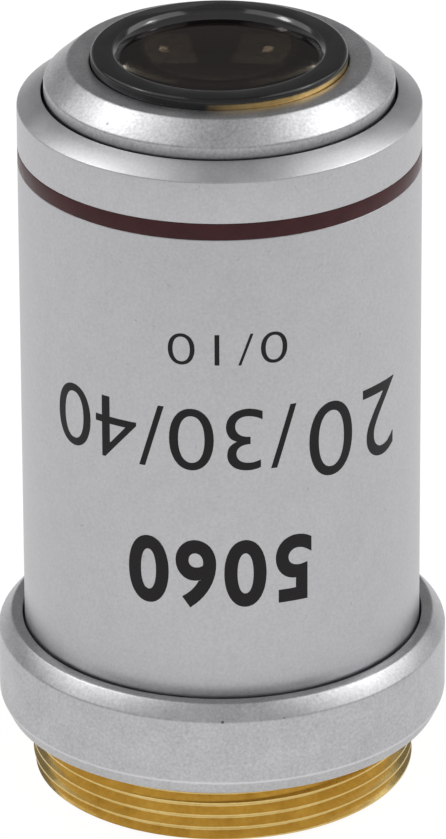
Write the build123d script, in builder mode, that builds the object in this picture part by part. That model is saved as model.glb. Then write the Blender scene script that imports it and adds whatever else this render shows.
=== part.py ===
from math import sqrt
import os

from build123d import *

os.makedirs("parts", exist_ok=True)

# Low power microscope objective, standing on its thread end with the front lens up.
# Millimetres. The origin is on the optical axis in the plane of the mounting shoulder,
# +Z runs towards the specimen. Radii are from the axis, heights from the shoulder.

# Clearances
fit = 0.03  # radial play of pieces that slide or screw into each other
centring_play = 0.25  # radial play of the middle cell between its centring screws
nose_gap = 0.14  # open ring between the nose cap and the sleeve
collar_gap = 0.10  # open ring between the sleeve and the collar

# Mounting thread, 0.8 inch by 36 turns per inch
thread_r = 10.137
thread_pitch = 0.7056
thread_depth = 0.64 * thread_pitch
thread_len = 3.70  # from the shoulder to the end of the thread
thread_bevel = 0.25  # height of the bevel at the thread end
relief_len = 0.75  # plain groove between the thread and the shoulder
relief_depth = 0.54
undercut_h = 0.30  # the groove runs on into the shoulder, so that the seat is a clean ring

# Walls and steps, out from the thread to the collar and in again to the bore
seat_clear = 0.06  # the shoulder seat starts this far outside the thread
seat_w = 0.703
collar_foot_wall = 0.57
collar_foot = 0.38  # taper at the collar's lower edge, width
collar_bevel = 0.68
collar_ledge = 0.60
sleeve_wall = 0.87
sleeve_overhang = 0.39  # how far the sleeve's front lip stands in from its bore
cap_wall = 0.52
neck_wall = 0.75  # wall of the barrel under the nose cap
barrel_relief = 0.30  # the barrel stands clear of the sleeve between its two lands

# Lengths along the axis
flange_t = 1.80
collar_lip_t = 1.60
collar_recess = 1.75  # how deep the sleeve sits in the collar
collar_bevel_h = 0.76
collar_foot_h = 0.78
sleeve_len = 31.73
sleeve_bevel_h = 0.70
sleeve_lip_t = 1.23
band_w = 0.88
band_from_front = 3.00
band_depth = 0.15
rear_land_len = 5.60  # the stretch that the sleeve screws onto
front_land_len = 2.00
neck_len = 3.60
barrel_recess = 0.53  # the barrel ends this far below the sleeve's front edge
cap_headroom = 0.30

# Nose cap and the ring that stands in it
nose_step = 0.60
nose_bevel = 1.23
nose_bevel_h = 1.06
nose_face = 1.17
ring_stand = 0.56
ring_wall = 0.77
front_lip = 0.80
front_lip_t = 0.60
front_lip_bevel = 0.26

# Front cell and its lens
lock_ring_h = 1.40
lock_ring_recess = 0.20
cell_flange_len = 1.60
front_lens_edge = 1.60
front_lens_rear = -11.0
front_ring_h = 1.50
front_ring_w = 0.67

# Lens blanks. A face that bulges to the front has a plus radius.
blank_spare = 1.00  # glass that grinding takes off over a face that stands out
cement_bevel = 0.10  # flat rim round the hollow face of a cemented pair

# Middle group
middle_cell_wall = 2.92
middle_seat_w = 0.40  # flat seat round the concave faces
middle_ring_recess = 0.20
middle_ring_h = 1.00
middle_lens_t = 1.20
middle_lens_front = -14.3
middle_lens_rear = 9.5
middle_spacer_t = 0.40
middle_crown_t = 1.20
middle_flint_t = 2.00
middle_crown_front = -9.5
middle_cement = 16.7
middle_flint_rear = 35.7
middle_seat_t = 1.40

# Rear group
stack_seat_z = 2.00
stack_seat_w = 1.00
shim_t = 0.20
rear_cell_wall = 1.24
rear_seat_w = 0.50
rear_ring_recess = 0.10
rear_ring_h = 0.80
rear_lens_edge = 1.00
rear_lens_radius = 38.3
rear_air = 0.30
rear_crown_edge = 1.15
rear_flint_t = 1.20
rear_crown_rear = -27.3
rear_cement = 19.7
rear_flint_front = 82.0
rear_cell_lip_t = 1.75
stop_t = 0.30
stop_w = 2.50
tube_wall = 1.17

# Rear baffle in the thread end
baffle_h = 2.00
baffle_step = 0.40
baffle_w = 0.87
baffle_seat_depth = 2.90

# Spanner slots and centring screws
slot_w = 1.00
slot_depth = 0.45
screw_r = 0.80
screw_count = 3
screw_recess = 0.10

# Radii that follow from the walls
thread_root_r = thread_r - thread_depth
relief_r = thread_r - relief_depth
seat_r = thread_r + seat_clear
flange_r = seat_r + seat_w
collar_foot_r = flange_r + fit + collar_foot_wall
collar_r = collar_foot_r + collar_foot
collar_ledge_r = collar_r - collar_bevel
collar_recess_r = collar_ledge_r - collar_ledge
sleeve_r = collar_recess_r - collar_gap
sleeve_bore_r = sleeve_r - sleeve_wall
sleeve_lip_r = sleeve_bore_r - sleeve_overhang
land_r = sleeve_bore_r - fit
barrel_r = land_r - barrel_relief
nose_r = sleeve_lip_r - nose_gap
neck_r = nose_r - cap_wall - fit
bore_r = neck_r - neck_wall
cell_r = bore_r - fit
nose_face_r = nose_r - nose_bevel
cap_hole_r = nose_face_r - nose_face
ring_r = cap_hole_r - fit
front_bore_r = ring_r - ring_wall
front_open_r = front_bore_r - front_lip
front_lens_r = front_bore_r - fit
middle_cell_r = bore_r - centring_play
middle_bore_r = middle_cell_r - middle_cell_wall
middle_lens_r = middle_bore_r - fit
middle_clear_r = middle_lens_r - middle_seat_w
rear_bore_r = cell_r - rear_cell_wall
rear_lens_r = rear_bore_r - fit
rear_seat_r = rear_lens_r - rear_seat_w
middle_cement_r = middle_lens_r - cement_bevel
rear_cement_r = rear_lens_r - cement_bevel
throat_r = bore_r - stack_seat_w
baffle_bore_r = throat_r + baffle_step
baffle_r = baffle_bore_r - fit

# Heights that follow from the lengths
sleeve_z = flange_t + collar_lip_t
collar_top_z = sleeve_z + collar_recess
sleeve_front_z = sleeve_z + sleeve_len
sleeve_lip_z = sleeve_front_z - sleeve_lip_t
band_top_z = sleeve_front_z - band_from_front
band_z = band_top_z - band_w
rear_land_z = sleeve_z + rear_land_len
barrel_top_z = sleeve_front_z - barrel_recess
cap_seat_z = barrel_top_z - neck_len
front_land_z = cap_seat_z - front_land_len
nose_wall_z = sleeve_front_z + nose_step
nose_face_z = nose_wall_z + nose_bevel_h
cap_ceiling_z = barrel_top_z + cap_headroom
front_z = nose_face_z + ring_stand
front_lens_z = front_z - front_lip_t
lock_ring_top_z = barrel_top_z - lock_ring_recess
cell_flange_z = lock_ring_top_z - lock_ring_h
front_cell_z = cell_flange_z - cell_flange_len


def sag(radius, height):
    """Depth of a spherical face at this height from the axis."""
    curvature = 1 / radius
    return curvature * height**2 / (1 + sqrt(1 - (curvature * height) ** 2))


def blank(edge_r, rear_z, front_z):
    """A disc of glass with its edge ground to size."""
    with Locations((0, 0, rear_z)):
        Cylinder(edge_r, front_z - rear_z, align=(Align.CENTER, Align.CENTER, Align.MIN))


def grind(vertex_z, radius, mode):
    """Grind one spherical face. A plus radius bulges to the front.

    A face that stands out keeps what is inside its sphere, and a hollow one takes it away.
    The sphere lies on its side, so that its poles stay off the glass.
    """
    with Locations((0, 0, vertex_z - radius)):
        Sphere(abs(radius), rotation=(90, 0, 0), mode=mode)


# Front lens, flat towards the specimen
front_lens_rear_z = front_lens_z - front_lens_edge + sag(front_lens_rear, front_lens_r)
front_ring_r = front_lens_r - front_ring_w
front_ring_top_z = front_lens_rear_z - sag(front_lens_rear, front_ring_r)

# Middle group, stacked down from the front cell
middle_ring_top_z = front_cell_z - middle_ring_recess
middle_ring_z = middle_ring_top_z - middle_ring_h
middle_lens_front_z = middle_ring_z + sag(middle_lens_front, middle_clear_r)
middle_lens_rear_z = middle_lens_front_z - middle_lens_t
middle_spacer_top_z = middle_lens_rear_z - sag(middle_lens_rear, middle_clear_r)
middle_spacer_z = middle_spacer_top_z - middle_spacer_t
middle_crown_front_z = middle_spacer_z + sag(middle_crown_front, middle_clear_r)
middle_cement_z = middle_crown_front_z - middle_crown_t
middle_cement_rim_z = middle_cement_z - sag(middle_cement, middle_cement_r)
middle_flint_rear_z = middle_cement_z - middle_flint_t
middle_seat_z = middle_flint_rear_z - sag(middle_flint_rear, middle_clear_r)
middle_cell_z = middle_seat_z - middle_seat_t

# Rear group, stacked up from the seat in the barrel
rear_cell_z = stack_seat_z + shim_t
rear_ring_z = rear_cell_z + rear_ring_recess
rear_ring_top_z = rear_ring_z + rear_ring_h
rear_lens_rear_z = rear_ring_top_z + sag(-rear_lens_radius, rear_seat_r)
rear_lens_sag = sag(rear_lens_radius, rear_lens_r)
rear_lens_front_z = rear_lens_rear_z + rear_lens_edge + 2 * rear_lens_sag
rear_spacer_z = rear_lens_front_z - sag(rear_lens_radius, rear_seat_r)
rear_crown_rear_z = rear_lens_front_z + rear_air
rear_spacer_top_z = rear_crown_rear_z - sag(rear_crown_rear, rear_seat_r)
rear_crown_sags = sag(rear_cement, rear_lens_r) - sag(rear_crown_rear, rear_lens_r)
rear_cement_z = rear_crown_rear_z + rear_crown_edge + rear_crown_sags
rear_cement_rim_z = rear_cement_z - sag(rear_cement, rear_cement_r)
rear_flint_front_z = rear_cement_z + rear_flint_t
rear_lip_z = rear_flint_front_z - sag(rear_flint_front, rear_seat_r)
rear_cell_top_z = rear_lip_z + rear_cell_lip_t
stop_top_z = rear_cell_top_z + stop_t
screw_z = (middle_cell_z + front_cell_z) / 2
screw_end_r = barrel_r - screw_recess
baffle_top_z = baffle_seat_depth - thread_len

# Threaded body, the brass barrel that everything is mounted on
with BuildPart() as threaded_body:
    with BuildSketch(Plane.XZ):
        with BuildLine():
            Polyline(
                (baffle_bore_r, -thread_len),
                (thread_root_r, -thread_len),
                (thread_r, thread_bevel - thread_len),
                (thread_r, -relief_len),
                (relief_r, -relief_len),
                (relief_r, undercut_h),
                (seat_r, undercut_h),
                (seat_r, 0),
                (flange_r, 0),
                (flange_r, flange_t),
                (land_r, flange_t),
                (land_r, rear_land_z),
                (barrel_r, rear_land_z),
                (barrel_r, front_land_z),
                (land_r, front_land_z),
                (land_r, cap_seat_z),
                (neck_r, cap_seat_z),
                (neck_r, barrel_top_z),
                (bore_r, barrel_top_z),
                (bore_r, stack_seat_z),
                (throat_r, stack_seat_z),
                (throat_r, baffle_top_z),
                (baffle_bore_r, baffle_top_z),
                close=True,
            )
        make_face()
    revolve(axis=Axis.Z)
    with Locations((0, 0, screw_z)):
        with PolarLocations(middle_cell_r, screw_count):
            Cylinder(
                screw_r + fit,
                land_r - middle_cell_r,
                rotation=(0, 90, 0),
                align=(Align.CENTER, Align.CENTER, Align.MIN),
                mode=Mode.SUBTRACT,
            )

threaded_body.part.label = "threaded_body"
export_step(threaded_body.part, "parts/threaded_body.step")

# Shoulder collar, dropped over the flange and held down by the sleeve
with BuildPart() as shoulder_collar:
    with BuildSketch(Plane.XZ):
        with BuildLine():
            Polyline(
                (flange_r + fit, 0),
                (collar_foot_r, 0),
                (collar_r, collar_foot_h),
                (collar_r, collar_top_z - collar_bevel_h),
                (collar_ledge_r, collar_top_z),
                (collar_recess_r, collar_top_z),
                (collar_recess_r, sleeve_z),
                (land_r + fit, sleeve_z),
                (land_r + fit, flange_t),
                (flange_r + fit, flange_t),
                close=True,
            )
        make_face()
    revolve(axis=Axis.Z)

shoulder_collar.part.label = "shoulder_collar"
export_step(shoulder_collar.part, "parts/shoulder_collar.step")

# Outer sleeve with its front lip and the groove for the colour band
with BuildPart() as outer_sleeve:
    with BuildSketch(Plane.XZ):
        with BuildLine():
            Polyline(
                (sleeve_bore_r, sleeve_z),
                (sleeve_r, sleeve_z),
                (sleeve_r, band_z),
                (sleeve_r - band_depth, band_z),
                (sleeve_r - band_depth, band_top_z),
                (sleeve_r, band_top_z),
                (sleeve_r, sleeve_front_z - sleeve_bevel_h),
                (sleeve_lip_r, sleeve_front_z),
                (sleeve_lip_r, sleeve_lip_z),
                (sleeve_bore_r, sleeve_lip_z),
                close=True,
            )
        make_face()
    revolve(axis=Axis.Z)

outer_sleeve.part.label = "outer_sleeve"
export_step(outer_sleeve.part, "parts/outer_sleeve.step")

# Colour band, enamel that fills the groove flush
with BuildPart() as colour_band:
    with BuildSketch(Plane.XY.offset(band_z)):
        Circle(sleeve_r)
        Circle(sleeve_r - band_depth, mode=Mode.SUBTRACT)
    extrude(amount=band_w)

colour_band.part.label = "colour_band"
export_step(colour_band.part, "parts/colour_band.step")

# Nose cap, screwed over the neck of the barrel
with BuildPart() as nose_cap:
    with BuildSketch(Plane.XZ):
        with BuildLine():
            Polyline(
                (neck_r + fit, cap_seat_z),
                (nose_r, cap_seat_z),
                (nose_r, nose_wall_z),
                (nose_face_r, nose_face_z),
                (cap_hole_r, nose_face_z),
                (cap_hole_r, cap_ceiling_z),
                (neck_r + fit, cap_ceiling_z),
                close=True,
            )
        make_face()
    revolve(axis=Axis.Z)

nose_cap.part.label = "nose_cap"
export_step(nose_cap.part, "parts/nose_cap.step")

# Front cell, whose blackened face stands proud of the nose cap
with BuildPart() as front_cell:
    with BuildSketch(Plane.XZ):
        with BuildLine():
            Polyline(
                (front_bore_r, front_cell_z),
                (cell_r, front_cell_z),
                (cell_r, cell_flange_z),
                (ring_r, cell_flange_z),
                (ring_r, front_z),
                (front_open_r + front_lip_bevel, front_z),
                (front_open_r, front_lens_z),
                (front_bore_r, front_lens_z),
                close=True,
            )
        make_face()
    revolve(axis=Axis.Z)

front_cell.part.label = "front_cell"
export_step(front_cell.part, "parts/front_cell.step")

# Front lens, one plano-convex glass behind the lip of its cell
with BuildPart() as front_lens:
    blank(front_lens_r, front_lens_rear_z - blank_spare, front_lens_z)
    grind(front_lens_rear_z, front_lens_rear, Mode.INTERSECT)

front_lens.part.label = "front_lens"
export_step(front_lens.part, "parts/front_lens.step")

# Front retaining ring, which bears on the curved face of the front lens
with BuildPart() as front_retaining_ring:
    with BuildSketch(Plane.XY.offset(front_ring_top_z - front_ring_h)):
        Circle(front_lens_r)
        Circle(front_ring_r, mode=Mode.SUBTRACT)
    extrude(amount=front_ring_h)
    with BuildSketch(Plane.XY.offset(front_ring_top_z - front_ring_h)):
        Rectangle(2 * bore_r, slot_w)
    extrude(amount=slot_depth, mode=Mode.SUBTRACT)

front_retaining_ring.part.label = "front_retaining_ring"
export_step(front_retaining_ring.part, "parts/front_retaining_ring.step")

# Stack lock ring, which clamps all the cells down in the barrel
with BuildPart() as stack_lock_ring:
    with BuildSketch(Plane.XY.offset(cell_flange_z)):
        Circle(cell_r)
        Circle(ring_r + fit, mode=Mode.SUBTRACT)
    extrude(amount=lock_ring_h)
    with BuildSketch(Plane.XY.offset(lock_ring_top_z)):
        Rectangle(2 * bore_r, slot_w)
    extrude(amount=-slot_depth, mode=Mode.SUBTRACT)

stack_lock_ring.part.label = "stack_lock_ring"
export_step(stack_lock_ring.part, "parts/stack_lock_ring.step")

# Middle cell, which has play in the barrel and is centred by three screws
with BuildPart() as middle_cell:
    with BuildSketch(Plane.XZ):
        with BuildLine():
            Polyline(
                (middle_clear_r, middle_cell_z),
                (middle_cell_r, middle_cell_z),
                (middle_cell_r, front_cell_z),
                (middle_bore_r, front_cell_z),
                (middle_bore_r, middle_seat_z),
                (middle_clear_r, middle_seat_z),
                close=True,
            )
        make_face()
    revolve(axis=Axis.Z)

middle_cell.part.label = "middle_cell"
export_step(middle_cell.part, "parts/middle_cell.step")

# Middle lens, hollow on both faces
with BuildPart() as middle_lens:
    blank(middle_lens_r, middle_spacer_top_z, middle_ring_z)
    grind(middle_lens_front_z, middle_lens_front, Mode.SUBTRACT)
    grind(middle_lens_rear_z, middle_lens_rear, Mode.SUBTRACT)

middle_lens.part.label = "middle_lens"
export_step(middle_lens.part, "parts/middle_lens.step")

# Middle spacer between the single lens and the cemented pair
with BuildPart() as middle_spacer:
    with BuildSketch(Plane.XY.offset(middle_spacer_z)):
        Circle(middle_lens_r)
        Circle(middle_clear_r, mode=Mode.SUBTRACT)
    extrude(amount=middle_spacer_t)

middle_spacer.part.label = "middle_spacer"
export_step(middle_spacer.part, "parts/middle_spacer.step")

# Middle crown, the hollow front half of the cemented pair
with BuildPart() as middle_crown:
    blank(middle_lens_r, middle_cement_rim_z, middle_spacer_z)
    grind(middle_crown_front_z, middle_crown_front, Mode.SUBTRACT)
    grind(middle_cement_z, middle_cement, Mode.SUBTRACT)

middle_crown.part.label = "middle_crown"
export_step(middle_crown.part, "parts/middle_crown.step")

# Middle flint, the rear half of the cemented pair
with BuildPart() as middle_flint:
    blank(middle_lens_r, middle_seat_z, middle_cement_z + blank_spare)
    grind(middle_cement_z, middle_cement, Mode.INTERSECT)
    grind(middle_flint_rear_z, middle_flint_rear, Mode.SUBTRACT)

middle_flint.part.label = "middle_flint"
export_step(middle_flint.part, "parts/middle_flint.step")

# Middle retaining ring
with BuildPart() as middle_retaining_ring:
    with BuildSketch(Plane.XY.offset(middle_ring_z)):
        Circle(middle_lens_r)
        Circle(middle_clear_r, mode=Mode.SUBTRACT)
    extrude(amount=middle_ring_h)
    with BuildSketch(Plane.XY.offset(middle_ring_top_z)):
        Rectangle(2 * bore_r, slot_w)
    extrude(amount=-slot_depth, mode=Mode.SUBTRACT)

middle_retaining_ring.part.label = "middle_retaining_ring"
export_step(middle_retaining_ring.part, "parts/middle_retaining_ring.step")

# Centring screws, headless, in the barrel wall against the middle cell
with BuildPart() as centring_screws:
    with Locations((0, 0, screw_z)):
        with PolarLocations(middle_cell_r, screw_count):
            Cylinder(
                screw_r,
                screw_end_r - middle_cell_r,
                rotation=(0, 90, 0),
                align=(Align.CENTER, Align.CENTER, Align.MIN),
            )

centring_screws.part.label = "centring_screws"
export_step(centring_screws.part, "parts/centring_screws.step")

# Spacer tube between the aperture stop and the middle cell
with BuildPart() as spacer_tube:
    with BuildSketch(Plane.XY.offset(stop_top_z)):
        Circle(cell_r)
        Circle(cell_r - tube_wall, mode=Mode.SUBTRACT)
    extrude(amount=middle_cell_z - stop_top_z)

spacer_tube.part.label = "spacer_tube"
export_step(spacer_tube.part, "parts/spacer_tube.step")

# Aperture stop, a thin black disc
with BuildPart() as aperture_stop:
    with BuildSketch(Plane.XY.offset(rear_cell_top_z)):
        Circle(cell_r)
        Circle(cell_r - stop_w, mode=Mode.SUBTRACT)
    extrude(amount=stop_t)

aperture_stop.part.label = "aperture_stop"
export_step(aperture_stop.part, "parts/aperture_stop.step")

# Rear cell, whose lip holds the cemented pair from the front
with BuildPart() as rear_cell:
    with BuildSketch(Plane.XZ):
        with BuildLine():
            Polyline(
                (rear_bore_r, rear_cell_z),
                (cell_r, rear_cell_z),
                (cell_r, rear_cell_top_z),
                (rear_seat_r, rear_cell_top_z),
                (rear_seat_r, rear_lip_z),
                (rear_bore_r, rear_lip_z),
                close=True,
            )
        make_face()
    revolve(axis=Axis.Z)

rear_cell.part.label = "rear_cell"
export_step(rear_cell.part, "parts/rear_cell.step")

# Rear flint, the front half of the rear cemented pair
with BuildPart() as rear_flint:
    blank(rear_lens_r, rear_cement_rim_z, rear_flint_front_z + blank_spare)
    grind(rear_flint_front_z, rear_flint_front, Mode.INTERSECT)
    grind(rear_cement_z, rear_cement, Mode.SUBTRACT)

rear_flint.part.label = "rear_flint"
export_step(rear_flint.part, "parts/rear_flint.step")

# Rear crown, the rear half of the cemented pair
with BuildPart() as rear_crown:
    blank(rear_lens_r, rear_crown_rear_z - blank_spare, rear_cement_z + blank_spare)
    grind(rear_cement_z, rear_cement, Mode.INTERSECT)
    grind(rear_crown_rear_z, rear_crown_rear, Mode.INTERSECT)

rear_crown.part.label = "rear_crown"
export_step(rear_crown.part, "parts/rear_crown.step")

# Rear spacer, whose inner corners bear on the two curved faces
with BuildPart() as rear_spacer:
    with BuildSketch(Plane.XY.offset(rear_spacer_z)):
        Circle(rear_lens_r)
        Circle(rear_seat_r, mode=Mode.SUBTRACT)
    extrude(amount=rear_spacer_top_z - rear_spacer_z)

rear_spacer.part.label = "rear_spacer"
export_step(rear_spacer.part, "parts/rear_spacer.step")

# Rear lens, alike on both faces
with BuildPart() as rear_lens:
    blank(rear_lens_r, rear_lens_rear_z - blank_spare, rear_lens_front_z + blank_spare)
    grind(rear_lens_front_z, rear_lens_radius, Mode.INTERSECT)
    grind(rear_lens_rear_z, -rear_lens_radius, Mode.INTERSECT)

rear_lens.part.label = "rear_lens"
export_step(rear_lens.part, "parts/rear_lens.step")

# Rear retaining ring, seen through the thread end
with BuildPart() as rear_retaining_ring:
    with BuildSketch(Plane.XY.offset(rear_ring_z)):
        Circle(rear_lens_r)
        Circle(rear_seat_r, mode=Mode.SUBTRACT)
    extrude(amount=rear_ring_h)
    with BuildSketch(Plane.XY.offset(rear_ring_z)):
        Rectangle(2 * bore_r, slot_w)
    extrude(amount=slot_depth, mode=Mode.SUBTRACT)

rear_retaining_ring.part.label = "rear_retaining_ring"
export_step(rear_retaining_ring.part, "parts/rear_retaining_ring.step")

# Parfocal shim under the rear cell, which sets the height of the whole stack
with BuildPart() as parfocal_shim:
    with BuildSketch(Plane.XY.offset(stack_seat_z)):
        Circle(cell_r)
        Circle(throat_r, mode=Mode.SUBTRACT)
    extrude(amount=shim_t)

parfocal_shim.part.label = "parfocal_shim"
export_step(parfocal_shim.part, "parts/parfocal_shim.step")

# Rear baffle, a black ring screwed into the thread end
with BuildPart() as rear_baffle:
    with BuildSketch(Plane.XY.offset(baffle_top_z - baffle_h)):
        Circle(baffle_r)
        Circle(baffle_r - baffle_w, mode=Mode.SUBTRACT)
    extrude(amount=baffle_h)
    with BuildSketch(Plane.XY.offset(baffle_top_z - baffle_h)):
        Rectangle(2 * bore_r, slot_w)
    extrude(amount=slot_depth, mode=Mode.SUBTRACT)

rear_baffle.part.label = "rear_baffle"
export_step(rear_baffle.part, "parts/rear_baffle.step")
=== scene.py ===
"""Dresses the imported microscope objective: finishes, thread, front lens, numbers and studio.

It is laid out as an add-on and runs as a script. Sizes are in metres, in the CAD model's frame.
"""

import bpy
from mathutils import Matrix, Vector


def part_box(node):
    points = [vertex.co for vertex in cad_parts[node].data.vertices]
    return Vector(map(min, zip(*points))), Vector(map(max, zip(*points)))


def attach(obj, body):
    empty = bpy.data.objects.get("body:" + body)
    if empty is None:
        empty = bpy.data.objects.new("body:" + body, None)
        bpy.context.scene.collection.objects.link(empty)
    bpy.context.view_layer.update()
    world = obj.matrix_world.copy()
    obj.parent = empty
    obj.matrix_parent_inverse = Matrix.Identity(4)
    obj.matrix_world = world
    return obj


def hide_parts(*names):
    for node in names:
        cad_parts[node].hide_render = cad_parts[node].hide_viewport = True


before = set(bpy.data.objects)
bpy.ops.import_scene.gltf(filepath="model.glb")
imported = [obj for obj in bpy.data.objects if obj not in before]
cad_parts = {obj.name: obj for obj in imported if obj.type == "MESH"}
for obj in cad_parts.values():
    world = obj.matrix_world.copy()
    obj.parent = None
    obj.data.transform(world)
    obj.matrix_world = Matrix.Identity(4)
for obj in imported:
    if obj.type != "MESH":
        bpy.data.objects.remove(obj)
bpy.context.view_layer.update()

from math import cos, hypot, pi, radians, sin

import bmesh
import bpy
from mathutils import Quaternion, Vector

bl_info = {
    "name": "Microscope objective",
    "version": (1, 0, 0),
    "blender": (4, 5, 0),
    "location": "3D View > Sidebar > Objective",
    "description": "Finishes, thread, lens, numbers and studio of a low-power microscope objective",
    "category": "Object",
}

MM = 0.001
BODY = "root"
FOOT_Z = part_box("threaded_body")[0].z
SLEEVE_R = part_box("outer_sleeve")[1].x
MERGE_REACH = 0.0005 * MM  # vertices closer together than this are one
FACE_REACH = 0.01 * MM  # a vertex this close to a face lies on it
EDGE_REACH = 0.03 * MM  # a vertex this close to the radius of a round edge lies on it
FLAT_ANGLE = radians(0.2)  # faces that meet at less are one flat face
FRONT_INDEX, CROWN_INDEX, FLINT_INDEX = 1.5168, 1.6204, 1.7552
COATING_NM, COATING_INDEX = 112.0, 1.38
PHOTO_HEIGHT = 839  # in pixels
CAMERA_SHIFT = (1.95, 0.38)  # in pixels of the photo, to the right and up
LAMP_AIM = Vector((0, 0, 16 * MM))


# Sizes and colours that a user would change

def length(name, default, description):
    """A length in metres."""
    return bpy.props.FloatProperty(
        name=name, description=description, default=default, min=0.0, precision=6,
        subtype="DISTANCE", unit="LENGTH")


def colour(name, default, description):
    """A colour of a finish."""
    return bpy.props.FloatVectorProperty(
        name=name, description=description, default=default, min=0.0, max=1.0,
        size=3, subtype="COLOR")


def factor(name, default, description):
    """A share from 0 to 1."""
    return bpy.props.FloatProperty(
        name=name, description=description, default=default, min=0.0, max=1.0,
        subtype="FACTOR")


def angle(name, default, description):
    """An angle, given in degrees."""
    return bpy.props.FloatProperty(
        name=name, description=description, default=radians(default), subtype="ANGLE")


def power(name, default, description):
    """The power of a lamp in watts."""
    return bpy.props.FloatProperty(
        name=name, description=description, default=default, unit="POWER")


class ObjectiveSizes(bpy.types.PropertyGroup):
    """Sizes of what is added to the solids."""
    edge_round: length("Edge rounding", 0.09 * MM, "Width of the rounding on the turned edges")
    ring_round: length("Ring rounding", 0.22 * MM, "Rounding on the ring's outer edge")
    opening_chamfer: length("Opening chamfer", 0.20 * MM, "Chamfer on the ring's inner edge")
    thread_pitch: length("Thread pitch", 0.7056 * MM, "Rise of the mounting thread in one turn")
    thread_crest_r: length("Thread crest radius", 10.137 * MM, "Radius over the thread's crests")
    thread_root_r: length("Thread root radius", 9.685 * MM, "Radius at the bottom of the grooves")
    thread_crest_w: length("Crest width", 0.10 * MM, "Flat left on top of each turn")
    thread_root_w: length("Root width", 0.08 * MM, "Flat at the bottom of each groove")
    lens_edge: length("Lens edge", 1.60 * MM, "Thickness of the front lens at its rim")
    lens_rim_bevel: length("Lens rim bevel", 0.12 * MM, "Ground bevel on the rim of the front lens")
    ink_thickness: length("Ink thickness", 0.02 * MM, "How thick the printed ink lies")


class ObjectiveColours(bpy.types.PropertyGroup):
    """Colours of the finishes."""
    chrome: colour("Satin chrome", (0.505, 0.505, 0.518), "The barrel, collar and nose cap")
    # Painted light: the thread's brass and the ring's brass are lit and shaded copies of one bare
    # brass, the thread's lighter and the ring's darker.
    brass: colour("Bare brass", (0.69, 0.52, 0.215), "The thread and the shim")
    ring_brass_shaded_copy: colour("Ring brass", (0.62, 0.44, 0.19), "Where the front ring is worn bare")
    enamel: colour("Band enamel", (0.060, 0.018, 0.020), "The colour band")
    black: colour("Black lacquer", (0.009, 0.009, 0.010), "The front ring and the inner metal")
    ink: colour("Ink", (0.014, 0.012, 0.013), "The printed numbers")
    glass: colour("Glass", (0.93, 0.95, 0.94), "The lenses")
    steel: colour("Steel", (0.33, 0.33, 0.34), "The screws inside")
    # Painted shade: the front glass is tinted dark, so that the inside seen through it looks dim.
    front_glass_shade_tint: colour("Front glass", (0.26, 0.24, 0.19), "The front lens with its dark coating")


class ObjectiveStudio(bpy.types.PropertyGroup):
    """The camera and the light."""
    elevation: angle("Elevation", 25.553, "Camera height above the horizon")
    roll: angle("Roll", -0.29, "Camera turned about its own axis")
    distance: length("Distance", 431.9 * MM, "From the camera to the middle of the barrel")
    aim_z: length("Aim height", 16.15 * MM, "Height on the axis that the camera looks at")
    focal: bpy.props.FloatProperty(
        name="Focal length", description="Camera lens", default=352.04, subtype="DISTANCE_CAMERA")
    softbox_left: power("Left softbox", 1.14, "Power of the large lamp on the left")
    softbox_right: power("Right softbox", 1.40, "Power of the large lamp on the right")
    lamp_core: power("Lamp core", 0.27, "Power of the bright middle of each softbox")
    softbox_side: length("Softbox side", 0.55, "Side of each square softbox")
    core_side: length("Core side", 0.09, "Side of the bright middle of each softbox")
    horizon: factor("Horizon", 0.70, "How light the studio is at the horizon")
    front: factor("Front", 0.52, "How light the studio is high up in front")
    rear: factor("Rear", 0.15, "How light the studio is high up behind")


# Selecting and shaping

def deselect():
    """Leave edit mode and select nothing."""
    if bpy.context.object and bpy.context.object.mode != "OBJECT":
        bpy.ops.object.mode_set(mode="OBJECT")
    bpy.ops.object.select_all(action="DESELECT")


def take(piece):
    """Make this the only selected object."""
    deselect()
    bpy.context.view_layer.objects.active = piece
    piece.select_set(True)


def open_mesh(piece):
    """Take a piece into edit mode with all of it selected."""
    take(piece)
    bpy.ops.object.mode_set(mode="EDIT")
    bpy.ops.mesh.select_all(action="SELECT")


def pick_edges(piece, wanted):
    """Select only the edges that the test wants. The piece is in edit mode."""
    bpy.ops.mesh.select_mode(type="EDGE")
    bpy.ops.mesh.select_all(action="DESELECT")
    mesh = bmesh.from_edit_mesh(piece.data)
    for edge in mesh.edges:
        if wanted(edge):
            edge.select_set(True)
    mesh.select_flush_mode()
    bmesh.update_edit_mesh(piece.data)


def pick_open_edges():
    """Select only the edges at which the mesh in edit mode is open."""
    bpy.ops.mesh.select_mode(type="EDGE")
    bpy.ops.mesh.select_all(action="DESELECT")
    bpy.ops.mesh.select_non_manifold()


def at_radius(vert, radius):
    """Whether a vertex lies at this distance from the axis."""
    return abs(hypot(vert.co.x, vert.co.y) - radius) < EDGE_REACH


def copy_of_node(node, name):
    """A merged copy of a CAD node, ready in object mode."""
    piece = bpy.data.objects.new(name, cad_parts[node].data.copy())
    bpy.context.scene.collection.objects.link(piece)
    piece.data.materials.clear()
    open_mesh(piece)
    bpy.ops.mesh.remove_doubles(threshold=MERGE_REACH)
    bpy.ops.object.mode_set(mode="OBJECT")
    if piece.data.has_custom_normals:
        bpy.ops.mesh.customdata_custom_splitnormals_clear()
    return piece


def soften_edges(piece, width, sharpness=radians(20)):
    """Dissolve what is flat and round every turned edge a little, as deburring leaves it."""
    open_mesh(piece)
    bpy.ops.mesh.dissolve_limited(angle_limit=FLAT_ANGLE)
    bpy.ops.mesh.select_mode(type="EDGE")
    bpy.ops.mesh.select_all(action="DESELECT")
    bpy.ops.mesh.edges_select_sharp(sharpness=sharpness)
    bpy.ops.mesh.bevel(
        offset=width, offset_type="OFFSET", segments=3, affect="EDGES", clamp_overlap=True)
    bpy.ops.object.mode_set(mode="OBJECT")
    smooth(piece)


def smooth(piece, limit=radians(32)):
    """Smooth shading, sharp where faces meet at more than the limit."""
    take(piece)
    bpy.ops.object.shade_smooth_by_angle(angle=limit)


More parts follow.
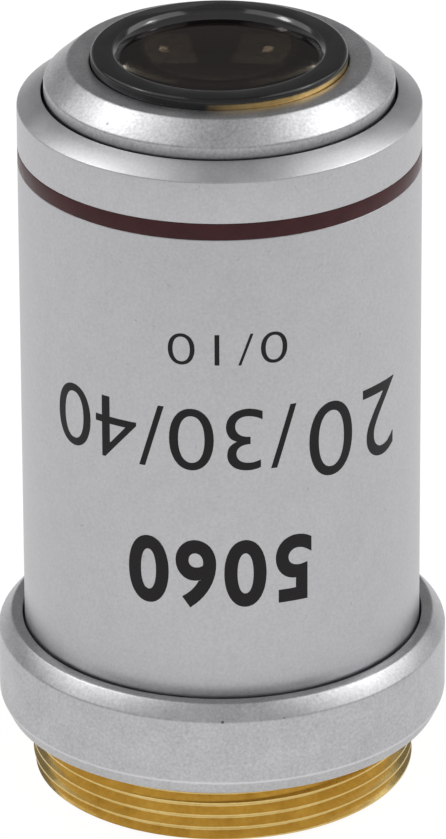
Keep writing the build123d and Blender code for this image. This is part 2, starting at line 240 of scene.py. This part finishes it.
def apply_modifier(piece, kind, **settings):
    """Add a modifier, set it and apply it."""
    take(piece)
    modifier = piece.modifiers.new(kind.title(), kind)
    for setting, value in settings.items():
        setattr(modifier, setting, value)
    bpy.ops.object.modifier_apply(modifier=modifier.name)


def clean(piece, reach=MERGE_REACH):
    """Merge what lies on the same spot, and drop slivers, loose vertices and loose edges."""
    open_mesh(piece)
    bpy.ops.mesh.remove_doubles(threshold=reach)
    bpy.ops.mesh.dissolve_degenerate(threshold=reach)
    bpy.ops.mesh.delete_loose(use_verts=True, use_edges=True, use_faces=False)
    bpy.ops.object.mode_set(mode="OBJECT")


def apply_place(piece):
    """Put the object's place, turn and size into its mesh."""
    take(piece)
    bpy.ops.object.transform_apply(location=True, rotation=True, scale=True)


def remove(piece):
    """Delete a cutter or another object that was only a tool."""
    bpy.data.objects.remove(piece, do_unlink=True)


def finished(piece, slot, *nodes):
    """Say what a finished piece rides on and stands for. The slot is not used."""
    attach(piece, BODY)
    if nodes:
        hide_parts(*nodes)


# Shader graphs

class Wire:
    """An output in a shader graph. Arithmetic on it adds Math nodes."""

    def __init__(self, graph, socket):
        self.graph = graph
        self.socket = socket

    def math(self, operation, *values):
        """A Math node with these inputs."""
        return self.graph.add(
            "ShaderNodeMath", {"operation": operation}, dict(enumerate(values)))

    def __abs__(self):
        return self.math("ABSOLUTE", self)

    def __add__(self, other):
        return self.math("ADD", self, other)

    __radd__ = __add__

    def __sub__(self, other):
        return self.math("SUBTRACT", self, other)

    def __rsub__(self, other):
        return self.math("SUBTRACT", other, self)

    def __mul__(self, other):
        return self.math("MULTIPLY", self, other)

    __rmul__ = __mul__


class Graph:
    """The node tree of a material or the world."""

    def __init__(self, owner):
        owner.use_nodes = True
        self.tree = owner.node_tree
        self.tree.nodes.clear()

    def add(self, kind, settings=None, inputs=None, output=0):
        """Add a node: its settings first, then the values or links of its sockets."""
        node = self.tree.nodes.new(kind)
        for setting, value in (settings or {}).items():
            setattr(node, setting, value)
        for socket, value in (inputs or {}).items():
            if isinstance(value, Wire):
                self.tree.links.new(value.socket, node.inputs[socket])
            else:
                node.inputs[socket].default_value = value
        if isinstance(output, tuple):
            return [Wire(self, node.outputs[each]) for each in output]
        return Wire(self, node.outputs[output])

    def place(self):
        """Object coordinates."""
        return self.add("ShaderNodeTexCoord", output="Object")

    def height(self, place):
        """Height along the part's axis."""
        return self.add("ShaderNodeSeparateXYZ", None, {"Vector": place}, output="Z")

    def vector_math(self, operation, *values, output="Value"):
        """A Vector Math node with these inputs."""
        return self.add(
            "ShaderNodeVectorMath", {"operation": operation}, dict(enumerate(values)), output)

    def noise(self, vector, size, detail=2.0, roughness=0.5, seed=0.0):
        """Noise with features of about this size in metres."""
        return self.add(
            "ShaderNodeTexNoise", {"noise_dimensions": "4D"},
            {"Vector": vector, "W": seed, "Scale": 1 / size, "Detail": detail,
             "Roughness": roughness})

    def span(self, value, low, high, to_low=0.0, to_high=1.0):
        """Map a value from one range to another and clamp it."""
        return self.add(
            "ShaderNodeMapRange", {"clamp": True},
            {"Value": value, "From Min": low, "From Max": high,
             "To Min": to_low, "To Max": to_high})

    def blend(self, share, first, second):
        """Mix two colours."""
        return self.add(
            "ShaderNodeMix", {"data_type": "RGBA"}, {"Factor": share, 6: first, 7: second}, 2)

    def shade(self, share, value, dark, light):
        """One colour made darker or lighter by these factors, as the share goes from 0 to 1."""
        return self.blend(share, rgba(value, dark), rgba(value, light))

    def bump(self, height, strength, distance):
        """A normal from a height of 0 to 1 that stands for this distance in metres."""
        return self.add(
            "ShaderNodeBump", None, {"Height": height, "Strength": strength, "Distance": distance})

    def seen(self, share):
        """1 for what the camera sees, and this share in reflections and through glass."""
        camera, glossy, through = self.add(
            "ShaderNodeLightPath",
            output=("Is Camera Ray", "Is Glossy Ray", "Is Transmission Ray"))
        return camera + (glossy + through) * share

    def surface(self, **sockets):
        """The Principled shader and the output."""
        names = {name.replace("_", " "): value for name, value in sockets.items()}
        shader = self.add("ShaderNodeBsdfPrincipled", {"distribution": "MULTI_GGX"}, names)
        self.add("ShaderNodeOutputMaterial", None, {"Surface": shader}, output=())


def rgba(value, gain=1.0):
    """A colour with its alpha, made lighter or darker."""
    return tuple(min(1.0, channel * gain) for channel in value) + (1.0,)


def material(name):
    """A new material and its graph."""
    made = bpy.data.materials.new(name)
    return Graph(made), made


def speck(graph, place, point, size):
    """1 inside a small round spot on the surface."""
    distance = graph.vector_math("DISTANCE", place, point)
    return graph.span(distance, size * 0.5, size, 1.0, 0.0)


def satin_chrome(name, colour_value, grain, specks=(), painted_shade_band=None, painted_highlight_height=None):
    """Bead-blasted chrome: a fine grain, a faint cloudiness, pits and a few marks from use.

    A painted shade band is a pair of heights between which the metal is darkened as painted shade.
    A painted highlight is a light line along an edge that is given by its height.
    """
    graph, made = material(name)
    place = graph.place()
    # The colour of the specks of dirt, and of the painted shade band.
    dirt_and_shade = rgba(colour_value, 0.12)
    fine = graph.noise(place, 0.16 * MM, 3.0, 0.6)
    cloud = graph.noise(place, 1.6 * MM, 2.0, 0.5, 3.0)
    pits = graph.span(graph.noise(place, 0.30 * MM, 1.0, 0.5, 7.0), 0.73, 0.80)
    tone = graph.span(fine * 0.7 + cloud * 0.3, 0.30, 0.70)
    base = graph.shade(tone, colour_value, 1 - grain, 1 + grain)
    base = graph.blend(pits * 0.35, base, rgba(colour_value, 0.45))
    for point, size, dark in specks:
        base = graph.blend(speck(graph, place, point, size) * dark, base, dirt_and_shade)
    height = graph.height(place)
    # Painted highlight: a light line along the edge at this height.
    if painted_highlight_height:
        bright = graph.span(abs(height - painted_highlight_height), 0.03 * MM, 0.10 * MM, 0.6, 0.0)
        base = graph.blend(bright, base, rgba(colour_value, 1.5))
    # Painted shade: the metal is darker between the two heights, most near the lower one.
    if painted_shade_band:
        base = graph.blend(graph.span(height, *painted_shade_band, 0.70, 0.0), base, dirt_and_shade)
    roughness = graph.span(cloud, 0.3, 0.7, 0.36, 0.41)
    graph.surface(
        Base_Color=base, Metallic=1.0, Roughness=roughness,
        Normal=graph.bump(fine, 0.35, 0.012 * MM))
    return made


def turned_brass(graph, place, colour_value):
    """Colour, roughness and normal of bare brass with fine turning lines and a little tarnish."""
    # The noise is stretched round the axis, so that it makes lines as a lathe does.
    lines = graph.add(
        "ShaderNodeMapping", None, {"Vector": place, "Scale": (60.0, 60.0, 9000.0)})
    turning = graph.add(
        "ShaderNodeTexNoise", None, {"Vector": lines, "Scale": 1.0, "Detail": 2.0})
    tarnish = graph.noise(place, 1.2 * MM, 3.0, 0.6, 5.0)
    stained = graph.noise(place, 0.25 * MM, 2.0, 0.5, 9.0)
    tone = graph.span(tarnish * 0.6 + stained * 0.4, 0.35, 0.68)
    red, green, blue = colour_value
    base = graph.blend(
        tone, rgba(colour_value, 1.06), rgba((red * 0.88, green * 0.82, blue * 0.66)))
    roughness = graph.span(tarnish, 0.3, 0.7, 0.17, 0.28)
    return base, roughness, graph.bump(turning, 0.3, 0.01 * MM)


def bare_brass(name, colour_value):
    """Bare turned brass, or another bare metal of this colour."""
    graph, made = material(name)
    base, roughness, normal = turned_brass(graph, graph.place(), colour_value)
    graph.surface(Base_Color=base, Metallic=1.0, Roughness=roughness, Normal=normal)
    return made


def black_over_brass(name, black, brass, face_r, side_r, brass_top, worn_turn):
    """Black lacquer on the front ring, worn to bare brass low on its outer side along one arc.

    The face is satin between the two radii, and the lacquer is glossy on the edges beside it.
    """
    graph, made = material(name)
    place = graph.place()
    height = graph.height(place)
    toward = graph.vector_math(
        "DOT_PRODUCT", place, (sin(worn_turn) / side_r, -cos(worn_turn) / side_r, 0.0))
    ragged = graph.noise(place, 0.35 * MM, 2.0, 0.5, 2.0) - 0.5
    low = graph.span(
        height + ragged * (0.06 * MM), brass_top + 0.05 * MM, brass_top - 0.05 * MM)
    worn = graph.span(toward + ragged * 0.10, 0.68, 0.95)
    lacquer = 1 - low * worn
    across = graph.vector_math("MULTIPLY", place, (1.0, 1.0, 0.0), output="Vector")
    radius = graph.vector_math("LENGTH", across)
    brass_base, brass_roughness, _ = turned_brass(graph, place, brass)
    fine = graph.noise(place, 0.10 * MM, 2.0, 0.5)
    black_base = graph.shade(graph.span(fine, 0.35, 0.65), black, 0.8, 1.35)
    cloud = graph.noise(place, 0.8 * MM, 2.0, 0.5, 4.0)
    black_roughness = graph.span(cloud, 0.3, 0.7, 0.14, 0.20)
    roughness = brass_roughness * (1 - lacquer) + black_roughness * lacquer
    graph.surface(
        Base_Color=graph.blend(lacquer, brass_base, black_base), Metallic=1 - lacquer,
        Roughness=roughness, Specular_IOR_Level=0.30, Normal=graph.bump(fine, 0.12, 0.01 * MM),
        Coat_Weight=lacquer * (
            graph.span(radius, face_r[0], face_r[0] - 0.03 * MM, 0.0, 0.75)
            + graph.span(radius, face_r[1], face_r[1] + 0.03 * MM, 0.0, 0.20)),
        Coat_Roughness=0.10)
    return made


def black_finish(name, black, roughness_low, roughness_high):
    """Matt black on the inner metal and on the rim of the front lens."""
    graph, made = material(name)
    place = graph.place()
    fine = graph.noise(place, 0.12 * MM, 2.0, 0.5)
    cloud = graph.noise(place, 1.5 * MM, 2.0, 0.5, 4.0)
    base = graph.shade(graph.span(fine, 0.35, 0.65), black, 0.8, 1.3)
    graph.surface(
        Base_Color=base, Specular_IOR_Level=0.25,
        Roughness=graph.span(cloud, 0.3, 0.7, roughness_low, roughness_high),
        Normal=graph.bump(fine, 0.2, 0.01 * MM))
    return made


def band_enamel(name, colour_value):
    """Enamel wiped into a groove: half glossy and slightly uneven."""
    graph, made = material(name)
    place = graph.place()
    flow = graph.noise(place, 0.9 * MM, 2.0, 0.5)
    fine = graph.noise(place, 0.12 * MM, 2.0, 0.5, 6.0)
    tone = graph.span(flow * 0.6 + fine * 0.4, 0.35, 0.65)
    base = graph.shade(tone, colour_value, 0.85, 1.2)
    graph.surface(
        Base_Color=base, Specular_IOR_Level=0.15,
        Roughness=graph.span(flow, 0.3, 0.7, 0.30, 0.40),
        Normal=graph.bump(flow * 0.7 + fine * 0.3, 0.10, 0.02 * MM))
    return made


def printed_ink(name, colour_value):
    """Printing ink, matt and a little uneven."""
    graph, made = material(name)
    place = graph.place()
    fine = graph.noise(place, 0.08 * MM, 2.0, 0.6)
    base = graph.shade(graph.span(fine, 0.35, 0.65), colour_value, 0.8, 1.3)
    graph.surface(
        Base_Color=base, Specular_IOR_Level=0.20,
        Roughness=graph.span(fine, 0.3, 0.7, 0.42, 0.55),
        Normal=graph.bump(fine, 0.1, 0.005 * MM))
    return made


def optical_glass(name, tint, index):
    """Polished glass with an anti-reflection coating and a trace of dust."""
    graph, made = material(name)
    grains = graph.noise(graph.place(), 0.10 * MM, 1.0, 0.5, 11.0)
    dust = graph.span(grains, 0.72, 0.80, 0.0, 0.10)
    graph.surface(
        Base_Color=rgba(tint), Roughness=dust, IOR=index, Transmission_Weight=1.0,
        Thin_Film_Thickness=COATING_NM, Thin_Film_IOR=COATING_INDEX)
    return made


# Pieces

class OBJECTIVE_OT_chrome_shells(bpy.types.Operator):
    """Satin chrome sleeve, collar and nose cap with deburred edges"""
    bl_idname = "objective.chrome_shells"
    bl_label = "Chrome shells"

    def execute(self, context):
        sizes, colours = context.scene.objective_sizes, context.scene.objective_colours
        # For each node its specks: place, size and how dark it is
        marks = {
            "shoulder_collar": (
                ((0.0, -11.86 * MM, 4.40 * MM), 0.11 * MM, 0.8),
                ((3.2 * MM, -11.42 * MM, 4.40 * MM), 0.07 * MM, 0.5),
                ((4.95 * MM, -10.16 * MM, 5.05 * MM), 0.08 * MM, 0.4)),
            "nose_cap": (
                ((-5.7 * MM, -6.61 * MM, 36.05 * MM), 0.12 * MM, 0.5),
                ((-4.9 * MM, -7.2 * MM, 35.95 * MM), 0.07 * MM, 0.45)),
            "outer_sleeve": (),
        }
        grains = {"shoulder_collar": 0.21, "nose_cap": 0.28, "outer_sleeve": 0.11}
        sleeve_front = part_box("outer_sleeve")[1].z
        # Painted shade on the nose cap's wall, darkest just above the front of the sleeve.
        painted_shade_bands = {"nose_cap": (sleeve_front + 0.05 * MM, sleeve_front + 0.68 * MM)}
        # Painted highlight: a light line along the lower edge of the collar's face.
        painted_highlight_edges = {"shoulder_collar": 0.80 * MM}
        for node, specks in marks.items():
            piece = copy_of_node(node, node + "_satin")
            soften_edges(piece, sizes.edge_round)
            piece.data.materials.append(satin_chrome(
                node + "_chrome", colours.chrome, grains[node], specks,
                painted_shade_bands.get(node), painted_highlight_edges.get(node)))
            finished(piece, "satin_chrome", node)
        return {"FINISHED"}


class OBJECTIVE_OT_colour_band(bpy.types.Operator):
    """Enamel band in its groove round the sleeve"""
    bl_idname = "objective.colour_band"
    bl_label = "Colour band"

    def execute(self, context):
        sizes, colours = context.scene.objective_sizes, context.scene.objective_colours
        piece = copy_of_node("colour_band", "colour_band_enamel")
        soften_edges(piece, 0.3 * sizes.edge_round)
        piece.data.materials.append(band_enamel("band_enamel", colours.enamel))
        finished(piece, "brown_enamel", "colour_band")
        return {"FINISHED"}


class OBJECTIVE_OT_thread_body(bpy.types.Operator):
    """Brass barrel with the mounting thread cut into its foot"""
    bl_idname = "objective.thread_body"
    bl_label = "Threaded body"

    def execute(self, context):
        sizes, colours = context.scene.objective_sizes, context.scene.objective_colours
        piece = copy_of_node("threaded_body", "threaded_body_cut")
        cutter = self.groove(sizes)
        apply_modifier(piece, "BOOLEAN", operation="DIFFERENCE", solver="EXACT", object=cutter)
        remove(cutter)
        sliver_width = 0.003 * MM
        clean(piece, sliver_width)
        smooth(piece)
        piece.data.materials.append(bare_brass("thread_brass", colours.brass))
        finished(piece, "bare_brass", "threaded_body")
        return {"FINISHED"}

    def groove(self, sizes):
        """The helical groove as a solid: a section turned and lifted round the axis."""
        turns, steps_per_turn, past = 5.35, 120, 0.03 * MM
        steps = int(steps_per_turn * turns)
        depth = sizes.thread_crest_r - sizes.thread_root_r
        mouth = sizes.thread_pitch - sizes.thread_crest_w
        slope = (mouth - sizes.thread_root_w) / depth
        wide = mouth + slope * past
        front_crest = -3.45 * MM
        # The section starts at the back below the thread and ends in the relief groove above it.
        start_z = front_crest - sizes.thread_pitch
        start_turn = pi / 2
        bpy.ops.mesh.primitive_plane_add(size=1.0, location=(0, 0, 0))
        cutter = bpy.context.object
        cutter.name = "thread_groove"
        bpy.ops.object.mode_set(mode="EDIT")
        section = bmesh.from_edit_mesh(cutter.data)
        for vert in section.verts:
            outer, upper = vert.co.x > 0, vert.co.y > 0
            half = wide / 2 if outer else sizes.thread_root_w / 2
            radius = sizes.thread_crest_r + past if outer else sizes.thread_root_r
            vert.co = (radius, 0.0, half if upper else -half)
        bmesh.update_edit_mesh(cutter.data)
        bpy.ops.mesh.select_all(action="SELECT")
        bpy.ops.mesh.delete(type="ONLY_FACE")
        bpy.ops.object.mode_set(mode="OBJECT")
        apply_modifier(
            cutter, "SCREW", angle=2 * pi * turns, screw_offset=sizes.thread_pitch * turns,
            steps=steps, render_steps=steps, axis="Z", use_merge_vertices=False)
        bpy.ops.object.mode_set(mode="EDIT")
        pick_open_edges()
        bpy.ops.mesh.edge_face_add()
        bpy.ops.mesh.select_all(action="SELECT")
        bpy.ops.mesh.normals_make_consistent(inside=False)
        bpy.ops.object.mode_set(mode="OBJECT")
        cutter.rotation_euler.z = start_turn
        cutter.location.z = start_z
        apply_place(cutter)
        return cutter


class OBJECTIVE_OT_front_ring(bpy.types.Operator):
    """Front ring in black lacquer that is worn to brass along one arc of its side"""
    bl_idname = "objective.front_ring"
    bl_label = "Front ring"

    def execute(self, context):
        sizes, colours = context.scene.objective_sizes, context.scene.objective_colours
        piece = copy_of_node("front_cell", "front_ring_black")
        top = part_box("front_cell")[1].z
        face = [
            hypot(vert.co.x, vert.co.y) for vert in piece.data.vertices
            if vert.co.z > top - FACE_REACH]
        ring_r, open_r = max(face), min(face)
        self.bevel_edge(piece, top, ring_r, sizes.ring_round, segments=6)
        self.bevel_edge(piece, top, open_r, sizes.opening_chamfer, segments=1)
        # The chamfer's upper edge is drawn in, so that it stands steeper than halfway between
        # the face and the wall of the opening.
        chamfer_r, drawn_in = open_r + sizes.opening_chamfer, 0.64
        steeper = (open_r + drawn_in * sizes.opening_chamfer) / chamfer_r
        for vert in piece.data.vertices:
            if at_radius(vert, chamfer_r) and vert.co.z > top - FACE_REACH:
                vert.co.x *= steeper
                vert.co.y *= steeper
        soften_edges(piece, 0.4 * sizes.edge_round)
        brass_top, worn_turn = top - 0.30 * MM, radians(40)
        # The bare brass of the ring is the darker, shaded copy.
        piece.data.materials.append(black_over_brass(
            "black_face", colours.black, colours.ring_brass_shaded_copy,
            (chamfer_r, ring_r - sizes.ring_round), ring_r, brass_top, worn_turn))
        finished(piece, "black_brass", "front_cell")
        return {"FINISHED"}

    def bevel_edge(self, piece, top, radius, width, segments):
        """Bevel the edge of the face that runs at this radius."""
        open_mesh(piece)
        bpy.ops.mesh.dissolve_limited(angle_limit=FLAT_ANGLE)
        pick_edges(piece, lambda edge: all(
            vert.co.z > top - FACE_REACH and at_radius(vert, radius)
            for vert in edge.verts))
        bpy.ops.mesh.bevel(offset=width, offset_type="OFFSET", segments=segments, affect="EDGES")
        bpy.ops.object.mode_set(mode="OBJECT")


class OBJECTIVE_OT_front_lens(bpy.types.Operator):
    """Front lens, flat in front and strongly curved behind, ground finely enough to refract well"""
    bl_idname = "objective.front_lens"
    bl_label = "Front lens"

    def execute(self, context):
        sizes, colours = context.scene.objective_sizes, context.scene.objective_colours
        low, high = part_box("front_lens")
        rim_z, rim_r = high.z - sizes.lens_edge, high.x
        sag = rim_z - low.z
        radius = (rim_r**2 + sag**2) / (2 * sag)
        deselect()
        bpy.ops.mesh.primitive_uv_sphere_add(
            segments=160, ring_count=360, radius=radius, location=(0, 0, low.z + radius))
        lens = context.object
        lens.name = "front_lens_ground"
        apply_place(lens)
        open_mesh(lens)
        bpy.ops.mesh.bisect(plane_co=(0, 0, rim_z), plane_no=(0, 0, 1), clear_outer=True)
        pick_open_edges()
        bpy.ops.mesh.extrude_edges_move(TRANSFORM_OT_translate={"value": (0, 0, sizes.lens_edge)})
        bpy.ops.mesh.edge_face_add()
        bpy.ops.mesh.select_all(action="SELECT")
        bpy.ops.mesh.normals_make_consistent(inside=False)
        bpy.ops.mesh.select_all(action="DESELECT")
        bpy.ops.mesh.edges_select_sharp(sharpness=radians(30))
        bpy.ops.mesh.bevel(offset=sizes.lens_rim_bevel, segments=1, affect="EDGES")
        bpy.ops.object.mode_set(mode="OBJECT")
        smooth(lens, radians(15))
        # The front glass is tinted dark as painted shade.
        lens.data.materials.append(
            optical_glass("front_glass_shade_tint", colours.front_glass_shade_tint, FRONT_INDEX))
        lens.data.materials.append(black_finish("lens_edge_black", colours.black, 0.5, 0.7))
        # The rim and its bevels are blacked. They are the faces near it that don't lie flat.
        rim_inside, flat = rim_r - 1.05 * sizes.lens_rim_bevel, 0.80
        for face in lens.data.polygons:
            on_rim = hypot(face.center.x, face.center.y) > rim_inside
            if on_rim and abs(face.normal.z) < flat:
                face.material_index = 1
        finished(lens, "lens_glass", "front_lens")
        return {"FINISHED"}


class OBJECTIVE_OT_inner_parts(bpy.types.Operator):
    """Finishes of the cells, rings, spacers, screws and lenses inside"""
    bl_idname = "objective.inner_parts"
    bl_label = "Inner parts"

    def execute(self, context):
        colours = context.scene.objective_colours
        black = black_finish("inner_black", colours.black, 0.55, 0.75)
        brass = bare_brass("inner_brass", colours.brass)
        steel = bare_brass("inner_steel", colours.steel)
        crown = optical_glass("crown_glass", colours.glass, CROWN_INDEX)
        flint = optical_glass("flint_glass", colours.glass, FLINT_INDEX)
        finishes = {
            "stack_lock_ring": black, "front_retaining_ring": black, "middle_cell": black,
            "middle_spacer": black, "middle_retaining_ring": black, "aperture_stop": black,
            "spacer_tube": black, "rear_cell": black, "rear_spacer": black,
            "rear_retaining_ring": black, "rear_baffle": black, "parfocal_shim": brass,
            "centring_screws": steel, "middle_lens": crown, "middle_crown": crown,
            "rear_crown": crown, "rear_lens": crown, "middle_flint": flint, "rear_flint": flint,
        }
        for node, finish in finishes.items():
            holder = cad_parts[node]
            holder.data.materials.clear()
            holder.data.materials.append(finish)
        return {"FINISHED"}


class OBJECTIVE_OT_numbers(bpy.types.Operator):
    """Plain numbers in black ink, read with the thread upwards"""
    bl_idname = "objective.numbers"
    bl_label = "Numbers"

    def execute(self, context):
        sizes, colours = context.scene.objective_sizes, context.scene.objective_colours
        ink = printed_ink("printed_ink", colours.ink)
        # Name, text, its height and its width along the sleeve, height of its middle on the
        # part, turn round the sleeve in degrees, weight of the strokes, spacing of the letters
        rows = (
            ("numbers_small", "0/10", 1.75 * MM, 6.2 * MM, 25.1 * MM, 2.0, -0.012, 1.1),
            ("numbers_large_first", "20", 4.2 * MM, 6.0 * MM, 19.3 * MM, 42.0, -0.005, 1.1),
            ("numbers_large_rest", "/30/40", 3.5 * MM, 13.6 * MM, 20.0 * MM, -15.5, -0.005, 1.0),
            ("numbers_bold", "5060", 3.9 * MM, 9.8 * MM, 12.3 * MM, -0.5, 0.028, 1.15),
        )
        for name, text, height, width, middle, turn, weight, spacing in rows:
            row = self.row(name, text, (width, height, sizes.ink_thickness), weight, spacing)
            self.wrap(row, width, middle, radians(turn))
            row.data.materials.append(ink)
            finished(row, "black_anodised")
        return {"FINISHED"}

    def row(self, name, text, size, weight, spacing):
        """A row as a flat mesh of this width, height and thickness, upside down, facing -Y."""
        deselect()
        bpy.ops.object.text_add(location=(0, 0, 0))
        row = bpy.context.object
        row.name = name
        row.data.body = text
        row.data.size = 1.0
        row.data.offset = weight
        row.data.extrude = 0.5
        row.data.space_character = spacing
        row.data.resolution_u = 10
        bpy.ops.object.convert(target="MESH")
        low = Vector([min(v.co[k] for v in row.data.vertices) for k in range(3)])
        high = Vector([max(v.co[k] for v in row.data.vertices) for k in range(3)])
        scale = [size[k] / (high[k] - low[k]) for k in range(3)]
        open_mesh(row)
        bpy.ops.mesh.remove_doubles(threshold=1e-5)
        bpy.ops.transform.translate(value=-(low + high) / 2)
        bpy.ops.object.mode_set(mode="OBJECT")
        row.scale = scale
        row.rotation_euler = (-pi / 2, 0, pi)
        apply_place(row)
        return row

    def wrap(self, row, width, middle, turn):
        """Cut a flat row into strips and wrap it round the sleeve."""
        bpy.ops.object.mode_set(mode="EDIT")
        strip_width = 0.35 * MM
        strips = round(width / strip_width)
        for strip in range(1, strips):
            bpy.ops.mesh.select_all(action="SELECT")
            bpy.ops.mesh.bisect(
                plane_co=(width * (strip / strips - 0.5), 0, 0), plane_no=(1, 0, 0), threshold=1e-8)
        clean(row)
        apply_modifier(
            row, "SIMPLE_DEFORM", deform_method="BEND", deform_axis="Z", angle=width / SLEEVE_R)
        row.location = (0, -SLEEVE_R, middle)
        apply_place(row)
        row.rotation_euler = (0, 0, turn)
        apply_place(row)
        smooth(row)


class OBJECTIVE_OT_studio(bpy.types.Operator):
    """Floor, softboxes, surround and camera"""
    bl_idname = "objective.studio"
    bl_label = "Studio"

    def execute(self, context):
        scene, studio = context.scene, context.scene.objective_studio
        self.floor()
        # Name, place, side and power of each lamp
        lamps = (
            ("softbox_left", (-0.36, 0.08, 0.47), studio.softbox_side, studio.softbox_left),
            ("softbox_right", (0.41, 0.08, 0.43), studio.softbox_side, studio.softbox_right),
            ("core_left", (-0.35, 0.078, 0.457), studio.core_side, studio.lamp_core),
            ("core_right", (0.40, 0.078, 0.42), studio.core_side, studio.lamp_core),
        )
        for lamp in lamps:
            self.softbox(*lamp)
        self.surround(scene, studio)
        self.camera(scene, studio)
        scene.view_settings.view_transform = "Standard"
        return {"FINISHED"}

    def floor(self):
        """A matt floor that looks white to the camera and nearly so in reflections."""
        deselect()
        bpy.ops.mesh.primitive_plane_add(size=3.0, location=(0, 0, FOOT_Z))
        floor = bpy.context.object
        floor.name = "studio_floor"
        apply_place(floor)
        graph, made = material("floor_white")
        matt = graph.add("ShaderNodeBsdfDiffuse", None, {"Color": (0.80, 0.80, 0.80, 1.0)})
        bright = graph.add(
            "ShaderNodeEmission", None, {"Color": (1.0, 1.0, 1.0, 1.0), "Strength": 1.10})
        share = graph.span(graph.seen(0.80), 0.0, 1.0, 0.0, 0.85)
        mixed = graph.add("ShaderNodeMixShader", None, {0: share, 1: matt, 2: bright})
        graph.add("ShaderNodeOutputMaterial", None, {"Surface": mixed}, output=())
        floor.data.materials.append(made)

    def softbox(self, name, place, side, watts):
        """A square lamp that faces the barrel."""
        deselect()
        bpy.ops.object.light_add(type="AREA", location=place)
        lamp = bpy.context.object
        lamp.name = name
        lamp.data.shape = "SQUARE"
        lamp.data.size = side
        lamp.data.energy = watts
        aim = LAMP_AIM - Vector(place)
        lamp.rotation_euler = aim.to_track_quat("-Z", "Y").to_euler()

    def surround(self, scene, studio):
        """White to the camera. To the part it is light at the horizon and darker high up."""
        world = bpy.data.worlds.new("studio_surround")
        scene.world = world
        graph = Graph(world)
        seen = graph.seen(0.05)
        direction = graph.add("ShaderNodeTexCoord", output="Generated")
        depth, rise = graph.add(
            "ShaderNodeSeparateXYZ", None, {"Vector": direction}, output=("Y", "Z"))
        # Depth is -1 in front and 1 behind. Rise is 0 at the horizon and 1 overhead.
        high = graph.span(depth, -0.45, 0.05, studio.front, studio.rear)
        share = graph.span(rise, 0.0, 0.32)
        wall = high * share + (1 - share) * studio.horizon
        tone = wall * (1 - seen) + seen
        back = graph.add(
            "ShaderNodeBackground", None, {"Color": (1.0, 1.0, 1.0, 1.0), "Strength": tone})
        graph.add("ShaderNodeOutputWorld", None, {"Surface": back}, output=())

    def camera(self, scene, studio):
        """The photo's camera, as fitted to the rings of the part."""
        aim = Vector((0, 0, studio.aim_z))
        back = Vector((0, -cos(studio.elevation), sin(studio.elevation)))
        deselect()
        bpy.ops.object.camera_add(location=aim + back * studio.distance)
        camera = bpy.context.object
        camera.name = "photo_camera"
        turn = (-back).to_track_quat("-Z", "Y") @ Quaternion((0, 0, 1), studio.roll)
        camera.rotation_euler = turn.to_euler()
        camera.data.lens = studio.focal
        camera.data.sensor_width = 36.0
        camera.data.shift_x, camera.data.shift_y = (
            shift / PHOTO_HEIGHT for shift in CAMERA_SHIFT)
        camera.data.clip_start, camera.data.clip_end = 0.01, 20.0
        scene.camera = camera


STEPS = (
    OBJECTIVE_OT_chrome_shells, OBJECTIVE_OT_colour_band, OBJECTIVE_OT_thread_body,
    OBJECTIVE_OT_front_ring, OBJECTIVE_OT_front_lens, OBJECTIVE_OT_inner_parts,
    OBJECTIVE_OT_numbers, OBJECTIVE_OT_studio,
)


class OBJECTIVE_PT_panel(bpy.types.Panel):
    """The steps and their settings"""
    bl_idname = "OBJECTIVE_PT_panel"
    bl_label = "Microscope objective"
    bl_space_type = "VIEW_3D"
    bl_region_type = "UI"
    bl_category = "Objective"

    def draw(self, context):
        column = self.layout.column()
        for step in STEPS:
            column.operator(step.bl_idname)
        for group in (context.scene.objective_sizes, context.scene.objective_colours,
                      context.scene.objective_studio):
            for name in group.bl_rna.properties.keys():
                if name not in ("rna_type", "name"):
                    column.prop(group, name)


CLASSES = (ObjectiveSizes, ObjectiveColours, ObjectiveStudio, *STEPS, OBJECTIVE_PT_panel)


def register():
    """Add the classes and their settings."""
    for each in CLASSES:
        bpy.utils.register_class(each)
    bpy.types.Scene.objective_sizes = bpy.props.PointerProperty(type=ObjectiveSizes)
    bpy.types.Scene.objective_colours = bpy.props.PointerProperty(type=ObjectiveColours)
    bpy.types.Scene.objective_studio = bpy.props.PointerProperty(type=ObjectiveStudio)


def unregister():
    """Take the settings and the classes out again."""
    del bpy.types.Scene.objective_studio
    del bpy.types.Scene.objective_colours
    del bpy.types.Scene.objective_sizes
    for each in reversed(CLASSES):
        bpy.utils.unregister_class(each)


def main():
    """Register the add-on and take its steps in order."""
    register()
    bpy.ops.objective.chrome_shells()
    bpy.ops.objective.colour_band()
    bpy.ops.objective.thread_body()
    bpy.ops.objective.front_ring()
    bpy.ops.objective.front_lens()
    bpy.ops.objective.inner_parts()
    bpy.ops.objective.numbers()
    bpy.ops.objective.studio()


if __name__ == "__main__":
    main()
